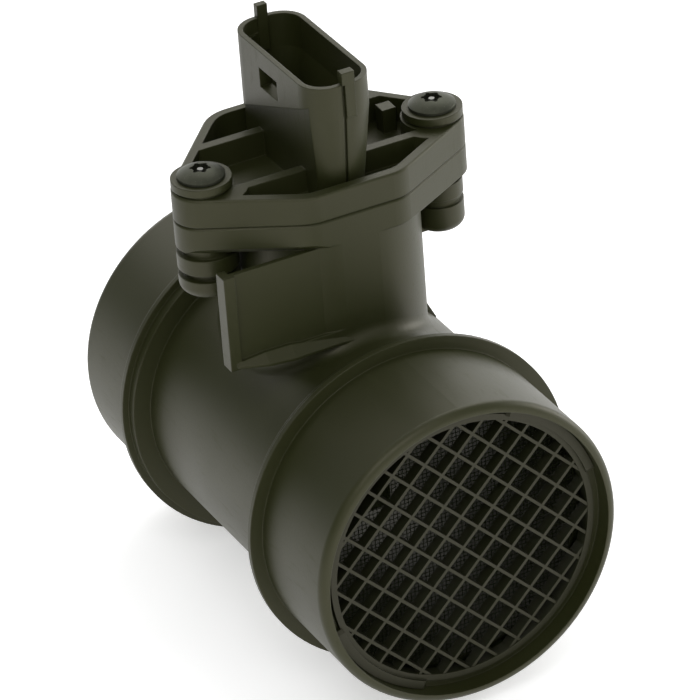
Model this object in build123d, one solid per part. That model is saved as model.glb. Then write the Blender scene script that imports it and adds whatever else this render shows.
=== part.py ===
from build123d import *
import math
import os

# Mass airflow sensor, millimetres. X runs along the duct from outlet to inlet, Z points up through
# the plug-in module. The origin is on the duct axis near the outer end of the inlet hose seat.

# ---- duct ----
duct_r = 29.4                # measuring section
body_wall = 2.9              # between the stop beads
grid_shoulder = 1.8          # step that the wire screen seats on
mouth_recess_step = 1.7
spigot_mouth_wall = 2.1      # round the mouth recess
outlet_bore_step = 2.2
inlet_seat_end = 0.7         # where the inlet seat's parallel wall ends
outlet_seat_end = -110.0
rim_round = 1.9              # rounding of both mouths
outlet_bore_end = -93.0
outlet_cone_length = 7.0
bead_height = 2.9            # above the hose seats
bead_width = 1.3
bead_foot_drop = 1.5
bead_foot_width = 3.7
inlet_bead_x = -24.9
outlet_bead_x = -86.9
mouth_recess_floor = -1.6

# ---- flow grid and wire screen ----
grid_face_x = -0.6
grid_depth = 3.0
grid_ring_clearance = 0.1
grid_rim = 1.4
grid_pitch = 5.36
grid_bar = 0.68
grid_turn = 44.8             # degrees, first bar direction from +Y towards +Z
grid_bar_setback = 0.2
rim_segment_clearance = 0.2
rim_segment_lift = 0.8
rim_segment_bevel = 0.7
rim_segment_middles = (42.0, 223.5)
rim_segment_sweep = 52.0
screen_thickness = 1.6
screen_rim = 1.2
screen_wire = 0.36
screen_pitch = 7.4

# ---- screw flange shared by housing and module ----
screw_x = -56.4
screw_pitch = 54.6
ear_r = 6.6
flange_front = -39.0
flange_back = -83.0
front_flat = 17.3
front_corner_r = 8.0
back_flat = 17.3
back_corner_r = 9.0
housing_flange_z = 56.4
parting_z = 62.9
parting_chamfer = 0.7
relief_stations = (          # x, y, size of the slanting cut under the left wall
    (-52.5, -34.1, 1.5), (-40.1, -12.7, 1.3), (-38.9, -7.2, 0.1))

# ---- neck and its web ----
neck_back = -80.0
neck_width = 40.8
neck_corner_r = 16.0
neck_bore_x = -60.5
neck_bore_length = 35.0
neck_bore_width = 28.0
neck_bore_corner_r = 12.0
neck_floor_z = 41.0
neck_foot_round = 3.0
left_boss_r = 6.6
left_boss_foot_z = 45.4
right_boss_r = 5.5
right_boss_foot_z = 43.2
boss_foot_round = 2.3
boss_rib_wall = 3.0          # joins the right boss to the neck
foot_rib_wall = 2.0          # small rib between the neck's right side and the body
foot_rib_line = ((20.0, 27.6), (22.0, 26.4), (24.4, 21.6), (24.0, 18.0), (20.0, 18.0))
left_boss_groove_depth = 1.2
right_boss_groove_depth = 0.6
boss_upper_groove = (54.8, 56.4)
boss_lower_groove = (49.6, 51.2)
web_end_y = -32.0
web_wall = 2.0
web_return = 3.6
web_foot_z = 34.4
web_panel_depth = 0.8
web_border = 2.6
skirt_lip = 0.6
skirt_stations = (           # y, height of the upper line, width of the slope
    (-30.6, 36.0, 0.5), (-24.0, 36.6, 1.9), (-17.8, 36.5, 2.2), (-12.4, 35.5, 1.5),
    (-6.5, 34.4, 0.8), (0.0, 33.4, 0.6), (4.0, 32.9, 0.5))

# ---- module ----
deck_front_z = 69.0          # the deck's top rises towards its back
deck_back_z = 70.4
pocket_floor_z = 64.2
flange_wall = 2.2
deck_round = 0.6
rib_width = 2.2
front_rib_x = -51.4
back_rib_x = -70.8
collar_r = 6.5
collar_groove_r = 5.9
collar_foot_z = 70.0
collar_top_z = 71.7
pocket_boss_r = 6.9
front_pocket_boss_r = 9.9     # the two pockets in front of the ribs start further out
pocket_overlap = 0.6          # the connector's wall runs this far into the pockets' plan
pad_length = 3.3
pad_width = 3.2
pad_centre = (-65.1, 20.6)
plug_gap = 0.15
plug_lift = 0.3
seal_section_r = 1.45
seal_groove_z = (50.2, 53.6)

# ---- connector shroud ----
shroud_x = -61.0
shroud_length = 38.4
shroud_left_y = -7.55
shroud_right_y = 7.9
shroud_corner_r = 6.0
shroud_base_end_x = -43.5    # the near end and the right side draw in towards the deck
shroud_base_side_y = 6.2
shroud_straight_z = 83.5
shroud_top_z = 91.2
shroud_wall = 1.2
step_depth = 1.5             # left side, set back below a slanted line
step_low = (-80.6, 72.1)
step_high = (-45.0, 86.3)
socket_floor_z = 76.0
socket_ledge_z = 87.9
key_thickness = 1.6
far_key_width = 2.4
far_key_top_z = 94.3
near_key_width = 2.9
near_key_y = 1.1
near_key_proud = 0.35
near_key_top_z = 94.0
near_groove_y = -0.05
near_groove_width = 0.65
near_groove_depth = 0.7
window_x = (-66.2, -58.0)
window_z = (82.5, 87.1)

# ---- finger ----
finger_length = 29.4
finger_width = 14.4
finger_edge_r = 4.0
finger_gap = 0.3
finger_tip_z = -15.0
cover_thickness = 1.3
cover_margin = 1.0
bay_x = (-73.4, -47.6)
bay_z = (9.0, 38.0)
bay_floor_y = 2.5
channel_height = 7.0
channel_floor_y = 3.0
channel_turn_x = -64.0
channel_turn_r = 4.75
channel_end_x = -50.0
outlet_port_length = 6.0

# ---- electronics ----
base_plate_thickness = 1.5
base_plate_margin = 0.5
board_thickness = 0.8
board_x = (-71.0, -50.0)
board_z = (12.5, 31.0)
chip_size = 6.4
chip_height = 1.2
chip_centre = (-58.0, 22.0)
capacitor_length = 2.6
capacitor_width = 1.6
capacitor_height = 1.4
capacitor_centres = ((-66.5, 26.5), (-66.5, 18.5))
carrier_x = (-60.4, -55.4)
carrier_z = (-2.6, 11.4)
carrier_y = -1.4
carrier_thickness = 1.0
carrier_gap = 0.05
film_size = (2.6, 3.6)
film_thickness = 0.4
thermistor_x = -69.0
thermistor_z = 16.5
thermistor_bead_r = 1.1
thermistor_lead_r = 0.25
thermistor_lead_gap = 0.9
thermistor_bay = (-72.2, -65.8, 13.6, 24.0)
thermistor_bay_depth = 2.6

# ---- terminals ----
terminal_pitch = 5.2
terminal_count = 5
terminal_width = 1.5
terminal_thickness = 0.64
terminal_tip_z = 82.5
terminal_foot_z = 32.4
terminal_gap = 0.05

# ---- screws and inserts ----
head_r = 5.1
head_edge = 0.7
head_height = 2.1
shank_r = 2.45
shank_end_z = 51.4
clearance_hole_r = 2.9
recess_r = 1.75
recess_lobe_r = 0.5
recess_depth = 1.5
recess_pin_r = 0.65
recess_pin_height = 1.2
insert_r = 3.6
insert_bore_r = 2.5
insert_foot_z = 50.6
insert_setback = 0.2

body_r = duct_r + body_wall
outlet_bore_r = duct_r + outlet_bore_step
grid_seat_r = duct_r + grid_shoulder
mouth_recess_r = grid_seat_r + mouth_recess_step
spigot_r = mouth_recess_r + spigot_mouth_wall
bead_r = spigot_r + bead_height
grid_ring_r = grid_seat_r - grid_ring_clearance
grid_open_r = grid_ring_r - grid_rim
screen_open_r = grid_ring_r - screen_rim
rim_segment_r = mouth_recess_r - rim_segment_clearance
screw_y = screw_pitch / 2
head_top_z = collar_top_z + head_height
inlet_end = inlet_seat_end + rim_round
outlet_end = outlet_seat_end - rim_round
grid_back_x = grid_face_x - grid_depth
screen_seat_x = grid_back_x - screen_thickness
finger_side_y = finger_width / 2
neck_length = flange_front - neck_back


def block(x0, x1, y0, y1, z0, z1):
    """A box between two opposite corners."""
    centre = Pos((x0 + x1) / 2, (y0 + y1) / 2, (z0 + z1) / 2)
    return centre * Box(abs(x1 - x0), abs(y1 - y0), abs(z1 - z0))


def prism(sketch, z0, z1):
    """A sketch raised from z0 to z1."""
    return extrude(Pos(0, 0, z0) * sketch, z1 - z0)


def band(x0, x1, r0, r1):
    """Half section of a ring about the duct axis, drawn in X and radius."""
    return Pos((x0 + x1) / 2, (r0 + r1) / 2) * Rectangle(abs(x1 - x0), r1 - r0)


def cone_band(x0, r0, x1, r1):
    """Half section of everything inside a cone between two radii."""
    return make_face(Polyline((x0, 0), (x1, 0), (x1, r1), (x0, r0), close=True))


def turned(section):
    """A half section turned about the duct axis."""
    return revolve(Plane.XZ * section, Axis.X)


def disc(x, y, radius):
    return Pos(x, y) * Circle(radius)


def flange_plan(inset=0.0):
    """Outline of the screw flange: two ears, a straight front and a straight back."""
    corners = []
    for side in (-1, 1):
        corners += disc(screw_x, side * screw_y, ear_r - inset).edges()
        front_r = front_corner_r - inset
        corners += disc(flange_front - front_corner_r, side * front_flat / 2, front_r).edges()
        back_r = back_corner_r - inset
        corners += disc(flange_back + back_corner_r, side * back_flat / 2, back_r).edges()
    return make_hull(corners)


def bore_plan(offset_by=0.0):
    """Rounded oblong of the neck's bore, grown or shrunk."""
    length = neck_bore_length + 2 * offset_by
    width = neck_bore_width + 2 * offset_by
    return Pos(neck_bore_x, 0) * RectangleRounded(length, width, neck_bore_corner_r + offset_by)


def finger_plan(grow=0.0):
    outline = RectangleRounded(finger_length + 2 * grow, finger_width + 2 * grow, finger_edge_r + grow)
    return Pos(neck_bore_x, 0) * outline


def oblong(x0, x1, y0, y1, radius):
    """Rounded rectangle between two opposite corners."""
    return Pos((x0 + x1) / 2, (y0 + y1) / 2) * RectangleRounded(x1 - x0, y1 - y0, radius)


def shroud_rim_plan(wall=0.0, left_set_back=0.0):
    """Outline of the connector at its rim, or of its cavity."""
    half = shroud_length / 2 - wall
    return oblong(shroud_x - half, shroud_x + half, shroud_left_y + wall + left_set_back,
                  shroud_right_y - wall, shroud_corner_r - wall)


def shroud_base_plan(wall=0.0, left_set_back=0.0):
    far_end = shroud_x - shroud_length / 2 + wall
    left = shroud_left_y + wall + left_set_back
    return oblong(far_end, shroud_base_end_x - wall, left, shroud_base_side_y - wall,
                  shroud_corner_r - wall)


# ---- tube housing ----

def duct_walls():
    """Spigots, body and stop beads, solid to the axis."""
    section = band(outlet_end, outlet_bead_x, 0, spigot_r) + band(outlet_bead_x, inlet_bead_x, 0, body_r)
    section += band(inlet_bead_x, inlet_end, 0, spigot_r)
    rims = section.vertices().filter_by(lambda v: v.Y > spigot_r / 2).group_by(Axis.X)
    section = fillet(rims[0] + rims[-1], rim_round - 0.01)
    for x, inward in ((inlet_bead_x, -1), (outlet_bead_x, 1)):
        section += band(x - bead_width / 2, x + bead_width / 2, 0, bead_r)
        foot = x + inward * (bead_foot_width - bead_width / 2)
        section += band(min(foot, x), max(foot, x), 0, bead_r - bead_foot_drop)
    return turned(section)


def duct_bore():
    """Everything that is open along the duct."""
    section = band(outlet_end - 1, outlet_bore_end, 0, outlet_bore_r)
    cone_end = outlet_bore_end + outlet_cone_length
    section += cone_band(outlet_bore_end, outlet_bore_r, cone_end, duct_r)
    section += band(cone_end, screen_seat_x, 0, duct_r)
    section += band(screen_seat_x, mouth_recess_floor, 0, grid_seat_r)
    section += band(mouth_recess_floor, inlet_end + 1, 0, mouth_recess_r)
    return turned(section)


def screw_boss(side, radius, foot_z, groove_depth):
    """Boss under one ear, with a groove under the flange and one above its rounded foot."""
    at = Pos(screw_x, side * screw_y)
    boss = at * prism(Circle(radius), foot_z, housing_flange_z)
    boss = fillet(boss.edges().group_by(Axis.Z)[0], boss_foot_round)
    for z0, z1 in (boss_upper_groove, boss_lower_groove):
        boss -= at * prism(Circle(radius + 1) - Circle(radius - groove_depth), z0, z1)
    return boss


def right_ribs():
    """Rib from the neck to the right boss, and a small one at the neck's foot."""
    half = boss_rib_wall / 2
    boss_rib = block(screw_x - half, screw_x + half, neck_width / 2 - 1, screw_y,
                     right_boss_foot_z, housing_flange_z)
    foot_rib = extrude(Plane.YZ.offset(screw_x - foot_rib_wall / 2) * make_face(
        Polyline(*foot_rib_line, close=True)), foot_rib_wall)
    return boss_rib + foot_rib


def web_skirt():
    """Sloped strip along the web's foot that narrows towards both of its ends."""
    sections = []
    for y, top, width in skirt_stations:
        foot = top - width - skirt_lip
        outline = Polyline((flange_front - web_wall, top), (flange_front, top),
                           (flange_front + width, top - width), (flange_front + width, foot),
                           (flange_front - web_wall, foot), close=True)
        sections.append(Plane.XZ.offset(-y) * make_face(outline))
    return loft(sections, ruled=True)


def front_web():
    """Thin wall in line with the neck's front that carries the left ear."""
    web_y = neck_corner_r - neck_width / 2
    web = block(flange_front - web_wall, flange_front, web_end_y, web_y, web_foot_z, housing_flange_z)
    web -= block(flange_front - web_panel_depth, flange_front, web_end_y + web_border, web_y,
                 web_foot_z, housing_flange_z)
    returned = block(flange_front - web_return, flange_front - web_wall, web_end_y,
                     web_end_y + web_wall, web_foot_z, housing_flange_z)
    root = block(flange_front - web_wall, flange_front, web_end_y + web_border, web_y,
                 web_foot_z, skirt_stations[0][1])
    return web + returned + root + web_skirt()


def flange_relief():
    """Slanting cut under the flange's left wall, running out at the front corner."""
    sections = []
    for (x, y, size), (to_x, to_y) in zip(relief_stations, ((1, 1.73), (0.7, 2), (0, 1))):
        plane = Plane(origin=(x, y, housing_flange_z), x_dir=(to_y, -to_x, 0), z_dir=(to_x, to_y, 0))
        cut = Polyline((-size, 1), (-size, 0), (1, -size - 1), (1, 1), close=True)
        sections.append(plane * make_face(cut))
    return loft(sections, ruled=True)


def neck_on_duct():
    """Duct and neck in one, with a rounded foot where the neck meets the body."""
    neck_sketch = Pos((flange_front + neck_back) / 2, 0) * RectangleRounded(
        neck_length, neck_width, neck_corner_r)
    joined = duct_walls() + prism(neck_sketch, 0, housing_flange_z)
    foot = joined.edges().filter_by(
        lambda edge: abs(math.hypot((edge @ 0.5).Y, (edge @ 0.5).Z) - body_r) < 0.05
        and neck_back - 0.1 < (edge @ 0.5).X < flange_front + 0.1 and (edge @ 0.5).Z > 0)
    return fillet(foot, neck_foot_round)


def make_tube_housing():
    flange = prism(flange_plan(), housing_flange_z, parting_z)
    top_front = flange.edges().group_by(Axis.Z)[-1].sort_by(Axis.X)[-1]
    flange = chamfer(top_front, parting_chamfer) - flange_relief()
    housing = neck_on_duct() + flange + front_web() + right_ribs()
    housing += screw_boss(-1, left_boss_r, left_boss_foot_z, left_boss_groove_depth)
    housing += screw_boss(1, right_boss_r, right_boss_foot_z, right_boss_groove_depth)
    housing -= duct_bore()
    housing -= prism(bore_plan(), neck_floor_z, parting_z + 1)
    housing -= prism(finger_plan(finger_gap), duct_r / 2, neck_floor_z + 1)
    for side in (-1, 1):
        housing -= Pos(screw_x, side * screw_y) * prism(Circle(insert_r), insert_foot_z, parting_z + 1)
    return housing


# ---- inlet ----

def bars(pitch, width, depth_span, radius, turn):
    """Crossed straight bars across the duct, cut to a disc."""
    x0, x1 = depth_span
    count = math.ceil(radius / pitch) + 1
    length = 2 * radius + 2 * pitch
    sketch = Sketch()
    for step in range(-count, count + 1):
        sketch += Pos(0, step * pitch) * Rectangle(length, width)
        sketch += Pos(step * pitch, 0) * Rectangle(width, length)
    sketch = Rot(0, 0, turn) * sketch & Circle(radius)
    return extrude(Plane.YZ.offset(x0) * sketch, x1 - x0)


def make_flow_grid():
    """Ring frame with a diagonal square lattice and two wider rim segments."""
    ring = turned(band(grid_back_x, grid_face_x, grid_open_r, grid_ring_r))
    lattice = bars(grid_pitch, grid_bar, (grid_back_x, grid_face_x - grid_bar_setback),
                   grid_open_r + 0.2, grid_turn)
    grid = ring + lattice
    half = math.radians(rim_segment_sweep / 2)
    reach = rim_segment_r / math.cos(half)
    for middle in rim_segment_middles:
        wedge = make_face(Polyline((0, 0), (reach, -reach * math.tan(half)),
                                   (reach, reach * math.tan(half)), close=True))
        segment = (Circle(rim_segment_r) - Circle(grid_ring_r - 0.3)) & wedge
        segment = extrude(Plane.YZ.offset(mouth_recess_floor) * Rot(0, 0, middle) * segment,
                          grid_face_x + rim_segment_lift - mouth_recess_floor)
        ends = segment.faces().sort_by(Axis.X)[-1].edges().filter_by(GeomType.LINE)
        grid += chamfer(ends, rim_segment_bevel)
    return grid


def make_wire_screen():
    """Metal ring and crossed wires behind the grid."""
    ring = turned(band(screen_seat_x, grid_back_x, screen_open_r, grid_ring_r))
    middle = (screen_seat_x + grid_back_x) / 2
    wires = bars(screen_pitch, screen_wire, (middle - screen_wire / 2, middle + screen_wire / 2),
                 screen_open_r + 0.2, 0.0)
    return ring + wires


# ---- module ----

def connector_shroud():
    """Upright plug shroud with its cavity, coding keys, near-end groove and latch window."""
    shroud = loft([Pos(0, 0, pocket_floor_z) * shroud_base_plan(),
                   Pos(0, 0, shroud_straight_z) * shroud_rim_plan()])
    shroud += prism(shroud_rim_plan(), shroud_straight_z, shroud_top_z)
    near_end = shroud_x + shroud_length / 2
    far_end = shroud_x - shroud_length / 2
    step = Polyline(step_low, step_high, (step_high[0], pocket_floor_z), (step_low[0], pocket_floor_z),
                    close=True)
    shroud -= side_cut(make_face(step), shroud_left_y - 1, shroud_left_y + step_depth)
    cavity = loft([Pos(0, 0, socket_floor_z) * shroud_base_plan(shroud_wall, step_depth),
                   Pos(0, 0, shroud_straight_z) * shroud_rim_plan(shroud_wall, step_depth)])
    cavity += prism(shroud_rim_plan(shroud_wall, step_depth), shroud_straight_z, socket_ledge_z)
    cavity += prism(shroud_rim_plan(shroud_wall), socket_ledge_z, shroud_top_z + 0.01)
    y0 = near_key_y - near_key_width / 2
    y1 = near_key_y + near_key_width / 2
    near_key = block(near_end - key_thickness, near_end + near_key_proud, y0, y1,
                     shroud_straight_z, near_key_top_z)
    far_key = block(far_end, far_end + key_thickness, -far_key_width / 2, far_key_width / 2,
                    shroud_straight_z, far_key_top_z)
    shroud = shroud - cavity + near_key + far_key
    groove = Polyline((shroud_base_end_x - near_groove_depth, pocket_floor_z),
                      (near_end - near_groove_depth, shroud_straight_z),
                      (near_end - near_groove_depth, shroud_top_z), (near_end + 1, shroud_top_z),
                      (near_end + 1, pocket_floor_z), close=True)
    shroud -= side_cut(make_face(groove), near_groove_y - near_groove_width / 2,
                       near_groove_y + near_groove_width / 2)
    shroud -= block(*window_x, shroud_left_y - 1, shroud_left_y / 2, *window_z)
    return shroud


def flange_pockets():
    """Cored spaces in the deck, between its wall, bosses, ribs and the connector."""
    cores = flange_plan(flange_wall)
    for side in (-1, 1):
        cores -= disc(screw_x, side * screw_y, pocket_boss_r)
        front_boss = disc(screw_x, side * screw_y, front_pocket_boss_r)
        front_side = Pos(front_rib_x + screw_pitch / 2, 0) * Rectangle(screw_pitch, 2 * screw_pitch)
        cores -= front_boss & front_side
    cores -= shroud_base_plan(pocket_overlap, step_depth)
    for rib_x in (front_rib_x, back_rib_x):
        cores -= Pos(rib_x, 0) * Rectangle(rib_width, screw_pitch)
    cores -= Pos(*pad_centre) * Rectangle(pad_length, pad_width)
    return prism(cores, pocket_floor_z, deck_back_z + 1)


def deck():
    """Cored flange of the module, its top face rising towards the back."""
    solid = prism(flange_plan(), parting_z, deck_back_z + 1)
    top = Polyline((flange_back - 1, deck_back_z), (flange_front + 1, deck_front_z),
                   (flange_front + 1, deck_back_z + 2), (flange_back - 1, deck_back_z + 2), close=True)
    solid -= side_cut(make_face(top), -screw_pitch, screw_pitch)
    solid = fillet(solid.faces().sort_by(Axis.Z)[-1].edges(), deck_round)
    return solid - flange_pockets()


def channel_plan():
    """Bypass channel seen from the side: in at the front, round a half turn and back."""
    half = channel_height / 2
    front_x = neck_bore_x + finger_length / 2 + 1
    run = Pos((channel_turn_x + front_x) / 2, 0) * Rectangle(front_x - channel_turn_x, channel_height)
    turn = Pos(channel_turn_x, -channel_turn_r) * (Circle(channel_turn_r + half) - Circle(
        channel_turn_r - half))
    reach = channel_turn_r + half
    turn -= Pos(channel_turn_x + reach / 2, -channel_turn_r) * Rectangle(reach, 3 * reach)
    back = Pos((channel_turn_x + channel_end_x) / 2, -2 * channel_turn_r) * Rectangle(
        channel_end_x - channel_turn_x, channel_height)
    return run + turn + back


def side_cut(sketch, y0, y1):
    """A sketch drawn in X and Z, cut between two Y planes."""
    return extrude(Plane.XZ.offset(-y1) * sketch, y1 - y0)


def cover_opening(x0, x1, z0, z1):
    return Pos((x0 + x1) / 2, (z0 + z1) / 2) * Rectangle(x1 - x0, z1 - z0)


def bay_plan(margin=0.0):
    return cover_opening(bay_x[0] - margin, bay_x[1] + margin, bay_z[0] - margin, bay_z[1] + margin)


def channel_cover_plan(inset=0.0):
    top = bay_z[0] - 2 * cover_margin
    return cover_opening(bay_x[0] - cover_margin + inset, bay_x[1] + cover_margin - inset,
                         finger_tip_z + cover_margin + inset, top - inset)


def finger():
    """The part of the module that reaches into the duct, with bay, channel and openings."""
    body = prism(finger_plan(), finger_tip_z, neck_floor_z + 2)
    body = fillet(body.edges().group_by(Axis.Z)[0], 0.8)
    body -= side_cut(bay_plan(), -finger_side_y - 1, bay_floor_y)
    body -= side_cut(bay_plan(cover_margin), -finger_side_y - 1, cover_thickness - finger_side_y)
    body -= side_cut(channel_plan(), -finger_side_y - 1, channel_floor_y)
    body -= side_cut(channel_cover_plan(), -finger_side_y - 1, cover_thickness - finger_side_y)
    port = cover_opening(channel_end_x - outlet_port_length, channel_end_x,
                         -2 * channel_turn_r - channel_height / 2, -2 * channel_turn_r + channel_height / 2)
    body -= side_cut(port, 0, finger_side_y + 1)
    slot = carrier_gap + carrier_thickness / 2
    body -= block(carrier_x[0] - carrier_gap, carrier_x[1] + carrier_gap, carrier_y - slot,
                  carrier_y + slot, 0, bay_z[0] + 1)
    x0, x1, z0, z1 = thermistor_bay
    body -= block(x0, x1, finger_side_y - thermistor_bay_depth, finger_side_y + 1, z0, z1)
    return body


def terminal_x(index):
    return shroud_x + (index - (terminal_count - 1) / 2) * terminal_pitch


def make_sensor_module():
    module = deck() + connector_shroud() + finger()
    for side in (-1, 1):
        at = Pos(screw_x, side * screw_y)
        module += at * prism(Circle(collar_groove_r), deck_front_z, collar_foot_z)
        module += at * prism(Circle(collar_r), collar_foot_z, collar_top_z)
        module -= at * prism(Circle(clearance_hole_r), parting_z, collar_top_z)
    plug = prism(bore_plan(-plug_gap), neck_floor_z + plug_lift, parting_z)
    plug -= prism(bore_plan(1) - bore_plan(-2 * seal_section_r), *seal_groove_z)
    module += plug
    module -= side_cut(bay_plan(), -finger_side_y, bay_floor_y)
    for index in range(terminal_count):
        half = terminal_width / 2 + terminal_gap
        thick = terminal_thickness / 2 + terminal_gap
        x = terminal_x(index)
        module -= block(x - half, x + half, -thick, thick, bay_z[1] - 1, socket_floor_z + 1)
    return module


def make_seal_ring():
    path_sketch = bore_plan(-seal_section_r)
    z = sum(seal_groove_z) / 2
    path = (Pos(0, 0, z) * path_sketch).wires()[0]
    start = path @ 0
    section = Plane(start, z_dir=path % 0) * Circle(seal_section_r)
    return sweep(section, path)


def side_cover(sketch):
    """A flat cover let into the finger's left side, following its rounded edges."""
    cover = side_cut(sketch, -finger_side_y, cover_thickness - finger_side_y)
    return cover & prism(finger_plan(), finger_tip_z, neck_floor_z)


def make_channel_cover():
    return side_cover(channel_cover_plan(carrier_gap))


def make_electronics_cover():
    return side_cover(bay_plan(cover_margin - carrier_gap))


# ---- electronics ----

plate_top_y = bay_floor_y - base_plate_thickness
board_top_y = plate_top_y - board_thickness


def make_base_plate():
    return side_cut(bay_plan(-base_plate_margin), plate_top_y, bay_floor_y)


def make_hybrid_board():
    return side_cut(cover_opening(*board_x, *board_z), board_top_y, plate_top_y)


def on_board(x, z, length, width, height):
    return side_cut(Pos(x, z) * Rectangle(length, width), board_top_y - height, board_top_y)


def make_sensor_carrier():
    half = carrier_thickness / 2
    return block(*carrier_x, carrier_y - half, carrier_y + half, *carrier_z)


def make_hot_film_element():
    x = sum(carrier_x) / 2
    face = carrier_y - carrier_thickness / 2
    return block(x - film_size[0] / 2, x + film_size[0] / 2, face - film_thickness, face,
                 -film_size[1] / 2, film_size[1] / 2)


def make_air_temperature_sensor():
    y = finger_side_y - thermistor_bay_depth / 2
    top = thermistor_bay[3]
    sensor = Pos(thermistor_x, y, thermistor_z) * Sphere(thermistor_bead_r)
    for side in (-1, 1):
        lead = Pos(thermistor_x + side * thermistor_lead_gap / 2, y) * Circle(thermistor_lead_r)
        sensor += prism(lead, thermistor_z, top)
    return sensor


def make_terminal(index):
    x = terminal_x(index)
    half = terminal_thickness / 2
    blade = block(x - terminal_width / 2, x + terminal_width / 2, -half, half,
                  terminal_foot_z, terminal_tip_z)
    tip = blade.edges().group_by(Axis.Z)[-1].filter_by(Axis.X)
    return chamfer(tip, 0.2)


# ---- screws ----

def recess_plan():
    """Six-lobed drive recess."""
    star = Circle(recess_r)
    for turn in range(6):
        angle = math.radians(60 * turn)
        star += disc(recess_r * math.cos(angle), recess_r * math.sin(angle), recess_lobe_r)
    return star


def make_screw(side):
    """Button-head screw with a six-lobed recess and a centre pin."""
    outline = Polyline((0, 0), (head_r, 0), (head_r, head_edge))
    crown = ThreePointArc((head_r, head_edge), (head_r * 0.62, head_height * 0.82), (0, head_height))
    head_section = make_face(outline + crown + Line((0, head_height), (0, 0)))
    screw = Pos(0, 0, collar_top_z) * revolve(Plane.XZ * head_section, Axis.Z)
    recess_floor = head_top_z - recess_depth
    screw -= prism(recess_plan(), recess_floor, head_top_z + 1)
    screw += prism(Circle(recess_pin_r), recess_floor, recess_floor + recess_pin_height)
    screw += prism(Circle(shank_r), shank_end_z, collar_top_z)
    return Pos(screw_x, side * screw_y) * screw


def make_insert(side):
    sleeve = prism(Circle(insert_r) - Circle(insert_bore_r), insert_foot_z, parting_z - insert_setback)
    return Pos(screw_x, side * screw_y) * sleeve


def all_parts():
    parts = {
        "tube_housing": make_tube_housing(),
        "flow_grid": make_flow_grid(),
        "wire_screen": make_wire_screen(),
        "sensor_module": make_sensor_module(),
        "seal_ring": make_seal_ring(),
        "channel_cover": make_channel_cover(),
        "electronics_cover": make_electronics_cover(),
        "base_plate": make_base_plate(),
        "hybrid_board": make_hybrid_board(),
        "evaluation_chip": on_board(*chip_centre, chip_size, chip_size, chip_height),
        "sensor_carrier": make_sensor_carrier(),
        "hot_film_element": make_hot_film_element(),
        "air_temperature_sensor": make_air_temperature_sensor(),
    }
    for number, (x, z) in enumerate(capacitor_centres, start=1):
        parts[f"capacitor_{number}"] = on_board(x, z, capacitor_length, capacitor_width, capacitor_height)
    for index in range(terminal_count):
        parts[f"terminal_{index + 1}"] = make_terminal(index)
    for side, name in ((-1, "left"), (1, "right")):
        parts[f"screw_{name}"] = make_screw(side)
        parts[f"threaded_insert_{name}"] = make_insert(side)
    return parts


os.makedirs("parts", exist_ok=True)
for name, shape in all_parts().items():
    export_step(shape, f"parts/{name}.step")
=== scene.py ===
# %% [markdown]
# # Mass airflow sensor
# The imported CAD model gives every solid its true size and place. This file adds what a drawing
# leaves out: the moulded plastic's skin, the woven wire screen, the light and the camera.
# Lengths are in metres, X runs out of the inlet, Z up through the connector.

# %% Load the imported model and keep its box
import math

import bmesh
import bpy
from mathutils import Matrix, Vector


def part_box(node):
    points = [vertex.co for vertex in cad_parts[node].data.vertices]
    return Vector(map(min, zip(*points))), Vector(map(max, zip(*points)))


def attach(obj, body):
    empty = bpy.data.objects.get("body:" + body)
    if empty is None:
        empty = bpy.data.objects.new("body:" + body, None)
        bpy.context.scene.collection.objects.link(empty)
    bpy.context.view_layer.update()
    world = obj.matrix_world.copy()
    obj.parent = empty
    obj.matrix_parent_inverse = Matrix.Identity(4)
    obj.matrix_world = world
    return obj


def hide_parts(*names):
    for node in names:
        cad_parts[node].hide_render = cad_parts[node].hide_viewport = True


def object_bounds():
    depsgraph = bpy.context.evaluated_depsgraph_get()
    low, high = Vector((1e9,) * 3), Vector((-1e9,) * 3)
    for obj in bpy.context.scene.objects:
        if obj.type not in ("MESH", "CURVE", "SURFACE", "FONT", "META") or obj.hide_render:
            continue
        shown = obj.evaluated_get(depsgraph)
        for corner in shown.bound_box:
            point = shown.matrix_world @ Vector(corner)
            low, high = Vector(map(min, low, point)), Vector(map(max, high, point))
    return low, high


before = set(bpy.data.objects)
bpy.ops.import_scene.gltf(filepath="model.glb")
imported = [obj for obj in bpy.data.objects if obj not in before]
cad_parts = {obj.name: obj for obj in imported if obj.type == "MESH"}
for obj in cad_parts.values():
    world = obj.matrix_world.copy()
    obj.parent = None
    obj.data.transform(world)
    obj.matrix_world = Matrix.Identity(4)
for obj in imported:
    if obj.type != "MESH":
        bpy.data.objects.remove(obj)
cad_box = [list(corner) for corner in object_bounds()]
MM = 0.001
print("nodes:", len(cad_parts), "box:", cad_box)

# %% [markdown]
# ## Camera
# The camera stands far away with a long lens, so that the two hose ends look almost equally large.
# Its own axes are its right, up and backward directions, and those three columns are its rotation.

# %% Camera
AZIMUTH, ELEVATION, ROLL = (math.radians(degrees) for degrees in (64.745, 30.333, -4.462))
SENSOR_MM, LENS_MM = 36, 292.72
FROM_ORIGIN = Vector((-23.963, 41.596, 1185.3)) * MM    # along the camera's own three axes

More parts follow.
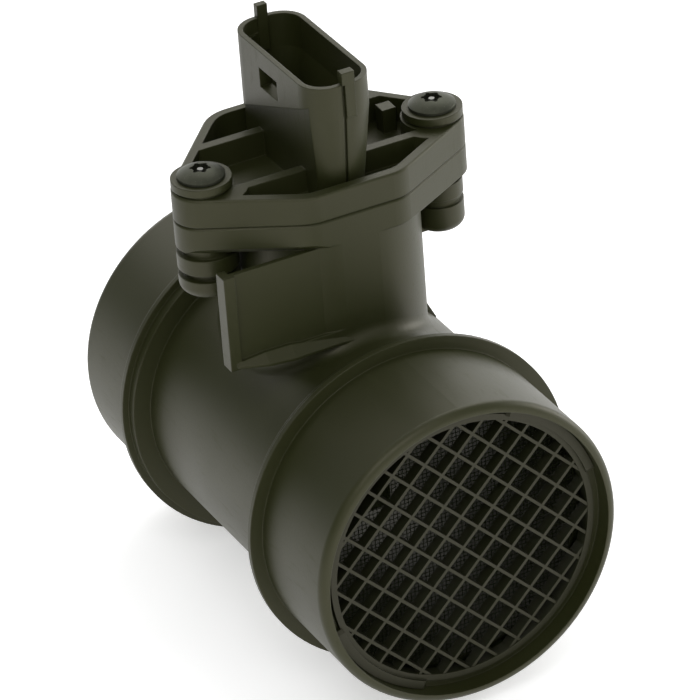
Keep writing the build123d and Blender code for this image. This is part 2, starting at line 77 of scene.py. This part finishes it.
backward = Vector((math.sin(AZIMUTH) * math.cos(ELEVATION),
                   -math.cos(AZIMUTH) * math.cos(ELEVATION),
                   math.sin(ELEVATION)))
right = Vector((math.cos(AZIMUTH), math.sin(AZIMUTH), 0))
up = backward.cross(right)
rolled_axes = Matrix.Rotation(-ROLL, 3, "Z") @ Matrix((right, up, backward))
camera_turn = rolled_axes.transposed()
camera_data = bpy.data.cameras.new("camera")
camera_data.sensor_width = SENSOR_MM
camera_data.lens = LENS_MM
camera = bpy.data.objects.new("camera", camera_data)
bpy.context.scene.collection.objects.link(camera)
camera.matrix_world = Matrix.Translation(camera_turn @ FROM_ORIGIN) @ camera_turn.to_4x4()
bpy.context.scene.camera = camera
print("camera at", [round(c, 3) for c in camera.location])

# %% [markdown]
# ## Writing shader maths as Python
# A procedural material is a formula. Wrapping a node's output in a small class lets the formula be
# written with + - * /, and each sign adds the Math node that Blender needs.

# %% A node's output with arithmetic signs
class Wire:
    """One output socket; arithmetic on it adds Math nodes."""

    def __init__(self, tree, socket):
        self.tree = tree
        self.socket = socket

    def math(self, operation, *inputs, clamp=False):
        node = self.tree.nodes.new("ShaderNodeMath")
        node.operation = operation
        node.use_clamp = clamp
        for slot, value in zip(node.inputs, inputs):
            feed(slot, value)
        return Wire(self.tree, node.outputs[0])

    def __add__(self, other):
        return self.math("ADD", self, other)

    def __sub__(self, other):
        return self.math("SUBTRACT", self, other)

    def __mul__(self, other):
        return self.math("MULTIPLY", self, other)

    def __truediv__(self, other):
        return self.math("DIVIDE", self, other)

    def __radd__(self, other):
        return self.math("ADD", other, self)

    def __rsub__(self, other):
        return self.math("SUBTRACT", other, self)

    def __rmul__(self, other):
        return self.math("MULTIPLY", other, self)

    def __rtruediv__(self, other):
        return self.math("DIVIDE", other, self)

    def __gt__(self, other):
        return self.math("GREATER_THAN", self, other)

    def __lt__(self, other):
        return self.math("LESS_THAN", self, other)

    def limited(self):
        """The same value, kept between 0 and 1."""
        return self.math("ADD", self, 0.0, clamp=True)


def feed(slot, value):
    """Link a wire to an input socket, or give the socket a constant."""
    if isinstance(value, Wire):
        value.tree.links.new(value.socket, slot)
    else:
        slot.default_value = value


# %% A material under construction
# A Mix node has a set of sockets for each kind of value. These are the places of the colour's set.
MIX_MASK, MIX_FROM, MIX_TO, MIX_RESULT = 0, 6, 7, 2


class Finish:
    """A material whose Principled shader is filled in step by step."""

    def __init__(self, name, metallic=0.0, ior=1.46):
        self.material = bpy.data.materials.new(name)
        self.material.use_nodes = True
        self.tree = self.material.node_tree
        self.shader = self.tree.nodes["Principled BSDF"]
        self.set("Metallic", metallic)
        self.set("IOR", ior)
        self.at = self.node("ShaderNodeTexCoord", out="Object")

    def node(self, kind, settings=None, inputs=None, out=0):
        """Add a node: its settings first, then the values or wires of its sockets."""
        node = self.tree.nodes.new(kind)
        for key, value in (settings or {}).items():
            setattr(node, key, value)
        for key, value in (inputs or {}).items():
            feed(node.inputs[key], value)
        return Wire(self.tree, node.outputs[out])

    def set(self, socket, value):
        feed(self.shader.inputs[socket], value)

    def feeding(self, socket):
        """The wire that feeds one of the shader's sockets so far."""
        return Wire(self.tree, self.shader.inputs[socket].links[0].from_socket)

    def stretched(self, x, y, z):
        """Object coordinates scaled along each axis, in repeats per metre."""
        return self.node("ShaderNodeMapping", None, {"Vector": self.at, "Scale": (x, y, z)})

    def noise(self, scale, detail, roughness, at=None):
        return self.node("ShaderNodeTexNoise", None,
                         {"Vector": at or self.at, "Scale": scale, "Detail": detail,
                          "Roughness": roughness})

    def colour(self, dark, light, mask):
        """From dark to light as the mask goes from 0 to 1."""
        return self.node("ShaderNodeMix", {"data_type": "RGBA"},
                         {MIX_MASK: mask, MIX_FROM: dark, MIX_TO: light}, out=MIX_RESULT)

    def ramp(self, wire, low, high):
        """0 below low, 1 above high, smooth between."""
        return self.node("ShaderNodeMapRange", {"interpolation_type": "SMOOTHSTEP"},
                         {"Value": wire, "From Min": low, "From Max": high})

    def axes(self):
        """Object coordinates as three wires."""
        separated = self.node("ShaderNodeSeparateXYZ", None, {"Vector": self.at}).socket.node
        return [Wire(self.tree, output) for output in separated.outputs]

    def relief(self, height, distance, strength, edge_radius=None):
        """Bump from a height, over edges rounded by edge_radius."""
        inputs = {"Height": height, "Distance": distance, "Strength": strength}
        if edge_radius:
            inputs["Normal"] = self.node("ShaderNodeBevel", {"samples": 6}, {"Radius": edge_radius})
        self.set("Normal", self.node("ShaderNodeBump", None, inputs))

    def onto(self, *names):
        """Give this material to the named CAD nodes."""
        for name in names:
            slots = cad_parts[name].data.materials
            slots.clear()
            slots.append(self.material)
        print(self.material.name, "on", ", ".join(names))


# %% [markdown]
# ## Glass-filled plastic
# The tube, the grid and the module are injection moulded in black polyamide with short glass
# fibres. The steel mould was spark eroded, so the skin is satin with a fine grain. Fibres near the
# skin make faint pale streaks that follow the flow, and the tone drifts a little over a few
# centimetres. None of this shows as a pattern, but without it the surface looks like a flat fill.

# %% Moulded plastic finish
# Painted warm light: the plastics' reflections are tinted warm to stand for the studio light's warm
# colour.
PAINTED_WARM_LIGHT = (1.0, 0.92, 0.76, 1)


def moulded_plastic(name, dark, light, flow=(160, 900, 900), grain=0.35, edge_radius=0.35 * MM,
                    roughness=0.46):
    """Satin skin; flow gives the streaks' repeats per metre, the fewest along the melt's way."""
    finish = Finish(name, ior=1.5)
    finish.set("Specular Tint", PAINTED_WARM_LIGHT)
    drift = finish.noise(38, 3.0, 0.55)
    streaks = finish.noise(1.0, 3.0, 0.6, at=finish.stretched(*flow))
    speckle = finish.noise(2600, 2.0, 0.6)
    pale_fibres = finish.ramp(streaks, 0.56, 0.74)
    tone = 0.25 + 0.5 * drift + 0.22 * pale_fibres + 0.25 * (speckle - 0.5)
    finish.set("Base Color", finish.colour(dark, light, tone.limited()))
    satin = roughness - 0.05 + 0.12 * drift + 0.07 * pale_fibres + 0.08 * (speckle - 0.5)
    finish.set("Roughness", satin.limited())
    pits = speckle + 0.5 * finish.noise(900, 3.0, 0.6)
    finish.relief(pits, 0.04 * MM, grain, edge_radius)
    return finish


# %% Plastic on the tube, the module, the grid and the covers
BLACK_DARK, BLACK_LIGHT = (0.0150, 0.0180, 0.0036, 1), (0.0283, 0.0322, 0.0090, 1)
MODULE_LIGHT = (0.0268, 0.0305, 0.0085, 1)
# Painted shade: the grid's tones are about half the tube's, to darken the lattice and the cell walls
# between its bars.
GRID_SHADE_DARK, GRID_SHADE_LIGHT = (0.0075, 0.0092, 0.0018, 1), (0.0135, 0.0160, 0.0040, 1)

tube_plastic = moulded_plastic("tube_plastic", BLACK_DARK, BLACK_LIGHT)
tube_plastic.onto("tube_housing")
module_plastic = moulded_plastic("module_plastic", BLACK_DARK, MODULE_LIGHT, flow=(500, 500, 140))
module_plastic.onto("sensor_module")
grid_plastic = moulded_plastic("grid_plastic", GRID_SHADE_DARK, GRID_SHADE_LIGHT, flow=(200, 500, 500),
                               edge_radius=0.12 * MM, roughness=0.50)
grid_plastic.onto("flow_grid")
cover_plastic = moulded_plastic("cover_plastic", BLACK_DARK, BLACK_LIGHT, grain=0.5)
cover_plastic.onto("channel_cover", "electronics_cover")

# %% [markdown]
# ## Screws
# The button heads are black-passivated steel: dark, oily and a little uneven. The pin in the recess
# is painted as brighter, smoother metal: a painted highlight for its glint. Below the head runs the
# thread, a ridge that climbs by one pitch in each turn.

# %% Where the screws stand
THREAD_PITCH = 0.8 * MM
PIN_R = 0.75 * MM
HEAD_HEIGHT = 2.3 * MM

insert_low, insert_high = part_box("threaded_insert_right")
screw_x, screw_y = (insert_low.x + insert_high.x) / 2, (insert_low.y + insert_high.y) / 2
under_head_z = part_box("screw_right")[1].z - HEAD_HEIGHT


def around_screw(finish):
    """Turns about the nearer screw's axis, from -0.5 to 0.5, the distance from it and the height."""
    x, y, z = finish.axes()
    forward, sideways = x - screw_x, y - screw_y * y.math("SIGN", y)
    radius = x.math("SQRT", forward * forward + sideways * sideways)
    return sideways.math("ARCTAN2", sideways, forward) / (2 * math.pi), radius, z


print("right screw at", [round(place / MM, 2) for place in (screw_x, screw_y, under_head_z)], "mm")

# %% Blackened steel
COAT_DARK, COAT_SCUFFED = (0.037, 0.040, 0.027, 1), (0.135, 0.137, 0.102, 1)
# Painted highlight: the bright metal given to the pin's top stands for its glint.
PIN_GLINT_STEEL = (0.25, 0.25, 0.23, 1)


def blackened_steel():
    finish = Finish("blackened_steel", metallic=0.85)
    drift = finish.noise(420, 4.0, 0.6)
    scuffs = finish.ramp(finish.noise(2600, 3.0, 0.65), 0.62, 0.74)
    turns, radius, z = around_screw(finish)
    flank = z.math("PINGPONG", z / THREAD_PITCH - turns, 0.5) * (z < under_head_z)
    coat = finish.colour(COAT_DARK, COAT_SCUFFED, (0.5 * drift + 0.7 * scuffs).limited())
    # Painted highlight: the top of the pin in the recess gets bright, smoother metal for its glint.
    pin_glint = (radius < PIN_R) * (z > under_head_z)
    finish.set("Base Color", finish.colour(coat, PIN_GLINT_STEEL, pin_glint))
    finish.set("Roughness", (0.40 + 0.22 * drift - 0.12 * pin_glint).limited())
    finish.relief(drift + 12 * flank, 0.03 * MM, 0.5, 0.18 * MM)
    return finish


blackened_steel().onto("screw_left", "screw_right")

# %% [markdown]
# ## Small metal and ceramic parts
# Inside the module sit a sheet aluminium plate, a white ceramic board with a dark chip, and tinned
# brass terminals. Each gets the grain of the way it was made: rolled sheet is drawn out in one
# direction, plated brass is nearly smooth, fired ceramic is matt and slightly uneven.

# %% Drawn or rolled metal
def drawn_metal(name, dark, light, stretch, roughness):
    """Bare metal; stretch gives the grain's repeats per metre, the fewest along the drawing."""
    finish = Finish(name, metallic=1.0)
    lines = finish.noise(1.0, 4.0, 0.6, at=finish.stretched(*stretch))
    stains = finish.noise(260, 3.0, 0.5)
    finish.set("Base Color", finish.colour(dark, light, (0.5 * lines + 0.5 * stains).limited()))
    finish.set("Roughness", (roughness - 0.08 + 0.16 * lines).limited())
    finish.relief(lines, 0.01 * MM, 0.5, 0.12 * MM)
    return finish


rolled_aluminium = drawn_metal("rolled_aluminium", (0.45, 0.45, 0.46, 1), (0.68, 0.68, 0.69, 1),
                               stretch=(3000, 3000, 120), roughness=0.38)
rolled_aluminium.onto("base_plate")
tinned_brass = drawn_metal("tinned_brass", (0.50, 0.47, 0.40, 1), (0.72, 0.69, 0.60, 1),
                           stretch=(2500, 2500, 160), roughness=0.28)
tinned_brass.onto(*(f"terminal_{number}" for number in range(1, 6)))

# %% Knurled brass
BRASS_DARK, BRASS_LIGHT = (0.52, 0.36, 0.13, 1), (0.75, 0.56, 0.25, 1)
KNURLS_ROUND, KNURL_RISE = 30, 1.0 * MM


def knurled_brass():
    """Two sets of crossing helices cut the diamonds that hold an insert in the plastic."""
    finish = Finish("knurled_brass", metallic=1.0)
    lines = finish.noise(1.0, 4.0, 0.6, at=finish.stretched(160, 160, 3000))
    turns, _, z = around_screw(finish)
    one_way = z.math("PINGPONG", KNURLS_ROUND * turns + z / KNURL_RISE, 0.5)
    other_way = z.math("PINGPONG", KNURLS_ROUND * turns - z / KNURL_RISE, 0.5)
    finish.set("Base Color", finish.colour(BRASS_DARK, BRASS_LIGHT, lines.limited()))
    finish.set("Roughness", (0.24 + 0.16 * lines).limited())
    finish.relief(one_way + other_way + 0.1 * lines, 0.3 * MM, 0.5)
    return finish


knurled_brass().onto("threaded_insert_left", "threaded_insert_right")

# %% Fired ceramic, chip mould and rubber
def mineral(name, dark, light, scale, roughness, pit_depth):
    """A matt or glossy solid with an even grain of the given repeats per metre."""
    finish = Finish(name)
    grain = finish.noise(scale, 3.0, 0.6)
    patches = finish.noise(scale / 6, 2.0, 0.5)
    finish.set("Base Color", finish.colour(dark, light, (0.6 * patches + 0.4 * grain).limited()))
    finish.set("Roughness", (roughness - 0.06 + 0.12 * grain).limited())
    finish.relief(grain, pit_depth, 0.6, 0.1 * MM)
    return finish


chip_mould = mineral("chip_mould", (0.012, 0.012, 0.014, 1), (0.028, 0.028, 0.031, 1),
                     scale=2500, roughness=0.42, pit_depth=0.02 * MM)
chip_mould.onto("evaluation_chip")
capacitor_body = mineral("capacitor_body", (0.34, 0.24, 0.13, 1), (0.50, 0.38, 0.23, 1),
                         scale=4000, roughness=0.4, pit_depth=0.01 * MM)
capacitor_body.onto("capacitor_1", "capacitor_2")
carrier_mould = mineral("carrier_mould", (0.03, 0.03, 0.028, 1), (0.06, 0.06, 0.055, 1),
                        scale=2500, roughness=0.5, pit_depth=0.02 * MM)
carrier_mould.onto("sensor_carrier")
silicon = mineral("silicon", (0.10, 0.11, 0.15, 1), (0.17, 0.18, 0.22, 1),
                  scale=1500, roughness=0.18, pit_depth=0.004 * MM)
silicon.onto("hot_film_element")
sealed_bead = mineral("sealed_bead", (0.10, 0.045, 0.02, 1), (0.20, 0.10, 0.05, 1),
                      scale=2500, roughness=0.2, pit_depth=0.01 * MM)
sealed_bead.onto("air_temperature_sensor")
seal_rubber = mineral("seal_rubber", (0.012, 0.012, 0.012, 1), (0.026, 0.026, 0.025, 1),
                      scale=1800, roughness=0.62, pit_depth=0.02 * MM)
seal_rubber.onto("seal_ring")

# %% [markdown]
# ## Printed board
# The board is fired ceramic with conductor tracks printed on it. The tracks run in columns on some
# patches and in rows on the others, so one slow noise decides which of the two shows where.

# %% Printed tracks over fired ceramic
COLUMN_PITCH, COLUMN_WIDTH = 1.30 * MM, 0.24 * MM
ROW_PITCH, ROW_WIDTH = 2.10 * MM, 0.20 * MM
TRACK = (0.40, 0.37, 0.30, 1)

board = mineral("fired_board", (0.60, 0.58, 0.50, 1), (0.78, 0.77, 0.71, 1),
                scale=3000, roughness=0.55, pit_depth=0.02 * MM)
x, _, z = board.axes()
columns = x.math("PINGPONG", x, COLUMN_PITCH / 2) < COLUMN_WIDTH / 2
rows = z.math("PINGPONG", z, ROW_PITCH / 2) < ROW_WIDTH / 2
areas = board.noise(210, 1.0, 0.4)
tracks = (columns * (areas > 0.47) + rows * (areas < 0.50)).limited()
board.set("Base Color", board.colour(board.feeding("Base Color"), TRACK, tracks))
board.set("Metallic", 0.7 * tracks)
board.onto("hybrid_board")

# %% [markdown]
# ## Woven wire screen
# Behind the grid, a fine stainless weave smooths the flow. Each wire passes over one crossing wire
# and under the next. One wire is a thin cylinder cut into short lengths; moving its rings up and
# down by a cosine weaves it. The CAD node is only a coarse cross, so this piece stands for it.

# %% One woven wire
RING_WIDTH = 1.2 * MM
WIRE_R, WIRE_SIDES = 0.09 * MM, 5
MESH_PITCH, CUTS_PER_PITCH = 0.92 * MM, 2
WIRE_INTO_RING = 0.3 * MM

low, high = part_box("wire_screen")
ring_outer = high.z
ring_inner = ring_outer - RING_WIDTH


def woven_wire(offset, phase, turn):
    """One wire parallel to Y, woven along X, then turned about the duct axis."""
    length = 2 * math.sqrt((ring_inner + WIRE_INTO_RING) ** 2 - offset ** 2)
    along_y = Matrix.Translation((0, 0, offset)) @ Matrix.Rotation(math.pi / 2, 4, "X")
    wire = bmesh.new()
    bmesh.ops.create_cone(wire, segments=WIRE_SIDES, radius1=WIRE_R, radius2=WIRE_R, depth=length,
                          cap_ends=True, matrix=along_y)
    long_edges = [edge for edge in wire.edges if edge.calc_length() > length / 2]
    bmesh.ops.subdivide_edges(wire, edges=long_edges, cuts=round(CUTS_PER_PITCH * length / MESH_PITCH))
    for vert in wire.verts:
        vert.co.x += WIRE_R * math.cos(math.pi * vert.co.y / MESH_PITCH + phase)
    bmesh.ops.rotate(wire, verts=wire.verts, cent=(0, 0, 0), matrix=Matrix.Rotation(turn, 3, "X"))
    return wire


def add_to(bm, part):
    """Copy a small bmesh into a larger one."""
    mesh = bpy.data.meshes.new("part")
    part.to_mesh(mesh)
    part.free()
    bm.from_mesh(mesh)
    bpy.data.meshes.remove(mesh)


print("screen ring from", round(ring_inner / MM, 2), "to", round(ring_outer / MM, 2), "mm")

# %% Weave the wires
CLEAR_OF_RING = 0.2 * MM

screen_x = (low.x + high.x) / 2
bm = bmesh.new()
wires = int((ring_inner - CLEAR_OF_RING) / MESH_PITCH)
for step in range(-wires, wires + 1):
    add_to(bm, woven_wire(step * MESH_PITCH, math.pi * step, 0))
    add_to(bm, woven_wire(step * MESH_PITCH, math.pi * (step + 1), math.pi / 2))
bmesh.ops.translate(bm, verts=bm.verts, vec=(screen_x, 0, 0))
print("woven:", 4 * wires + 2, "wires")

# %% Spin the ring round them
RING_STEPS = 128

# A square of one metre, shrunk to the ring's section and spun about the duct axis.
section_place = (Matrix.Translation((screen_x, 0, (ring_inner + ring_outer) / 2))
                 @ Matrix.Diagonal((high.x - low.x, 1, ring_outer - ring_inner, 1))
                 @ Matrix.Rotation(math.pi / 2, 4, "X"))
section = bmesh.ops.create_grid(bm, x_segments=1, y_segments=1, size=0.5, matrix=section_place)
section_face = section["verts"][0].link_faces[0]
section_edges = list(section_face.edges)
bmesh.ops.delete(bm, geom=[section_face], context="FACES_ONLY")
bmesh.ops.spin(bm, geom=section_edges, cent=(0, 0, 0), axis=(1, 0, 0), angle=2 * math.pi,
               steps=RING_STEPS, use_merge=True)
bmesh.ops.recalc_face_normals(bm, faces=bm.faces)
screen_mesh = bpy.data.meshes.new("woven_screen")
bm.to_mesh(screen_mesh)
bm.free()
for polygon in screen_mesh.polygons:
    polygon.use_smooth = True
print("woven screen:", len(screen_mesh.polygons), "faces")

# %% The screen as a piece
screen = bpy.data.objects.new("woven_screen", screen_mesh)
bpy.context.scene.collection.objects.link(screen)
# Painted shade and painted reflection: the stainless wire gets a near-black olive colour for the shade
# behind the grid and the olive plastic it mirrors.
stainless_wire_painted_shade = drawn_metal("stainless_wire_painted_shade", (0.014, 0.020, 0.006, 1), (0.042, 0.052, 0.020, 1),
                             stretch=(900, 900, 900), roughness=0.6)
screen_mesh.materials.append(stainless_wire_painted_shade.material)
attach(screen, "root")
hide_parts("wire_screen")
print(stainless_wire_painted_shade.material.name, "on", screen.name)

# %% [markdown]
# ## Floor and light
# The part stands on a pale sweep among large soft boxes. A dark satin surface shows mostly what it
# mirrors, so the boxes' places decide how it looks. The strongest stands low on the right, others
# stand high on the left by the inlet and behind on the right, and weaker ones keep the far edges
# readable. The sweep glows a little, as paper lit from below does, so that the shadows under the
# tube stay pale.

# %% Floor
FLOOR_REACH, FLOOR_GAP = 3.0, 0.2 * MM
PAPER, WHITE = (0.9, 0.9, 0.9, 1), (1, 1, 1, 1)

bm = bmesh.new()
bmesh.ops.create_grid(bm, x_segments=1, y_segments=1, size=FLOOR_REACH,
                      matrix=Matrix.Translation((0, 0, cad_box[0][2] - FLOOR_GAP)))
floor_mesh = bpy.data.meshes.new("floor")
bm.to_mesh(floor_mesh)
bm.free()
floor = bpy.data.objects.new("floor", floor_mesh)
bpy.context.scene.collection.objects.link(floor)
floor_paper = Finish("floor_paper")
floor_paper.set("Base Color", PAPER)
floor_paper.set("Roughness", 0.9)
floor_paper.set("Emission Color", WHITE)
floor_paper.set("Emission Strength", 0.5)
floor_mesh.materials.append(floor_paper.material)
print("floor", round(FLOOR_GAP / MM, 2), "mm below the part")

# %% Soft boxes
SOFT_BOXES = [
    # name, turn from the inlet and height in degrees, watts
    ("inlet_low", 0, 12, 1.2),
    ("inlet_high", 0, 48, 1.3),
    ("right_front_low", 45, 12, 0.7),
    ("right_low", 90, 12, 5.4),
    ("right_back_low", 135, 12, 1.9),
    ("right_back_high", 135, 48, 3.3),
    ("outlet_low", 180, 12, 2.2),
    ("outlet_high", 180, 48, 1.5),
    ("left_back_high", 225, 48, 1.0),
    ("left_front_high", 315, 48, 3.0),
    ("overhead", 0, 89, 0.6),
]
REACH, BOX_SIZE = 1.0, 0.6
TARGET = Vector((-0.055, 0, 0.02))

for name, turn_degrees, height_degrees, watts in SOFT_BOXES:
    light_data = bpy.data.lights.new(name, "AREA")
    light_data.size = BOX_SIZE
    light_data.energy = watts
    light = bpy.data.objects.new(name, light_data)
    bpy.context.scene.collection.objects.link(light)
    turn, height = math.radians(turn_degrees), math.radians(height_degrees)
    outward = Vector((math.cos(turn) * math.cos(height),
                      math.sin(turn) * math.cos(height),
                      math.sin(height)))
    light.location = TARGET + REACH * outward
    light.rotation_euler = outward.to_track_quat("Z", "Y").to_euler()
print("soft boxes:", len(SOFT_BOXES))

# %% The room's own faint light
ROOM_LIGHT = 0.02

world = bpy.data.worlds.new("studio")
world.use_nodes = True
background = world.node_tree.nodes["Background"]
background.inputs["Color"].default_value = WHITE
background.inputs["Strength"].default_value = ROOM_LIGHT
bpy.context.scene.world = world
bpy.context.scene.view_settings.view_transform = "Standard"
print("room light:", ROOM_LIGHT)
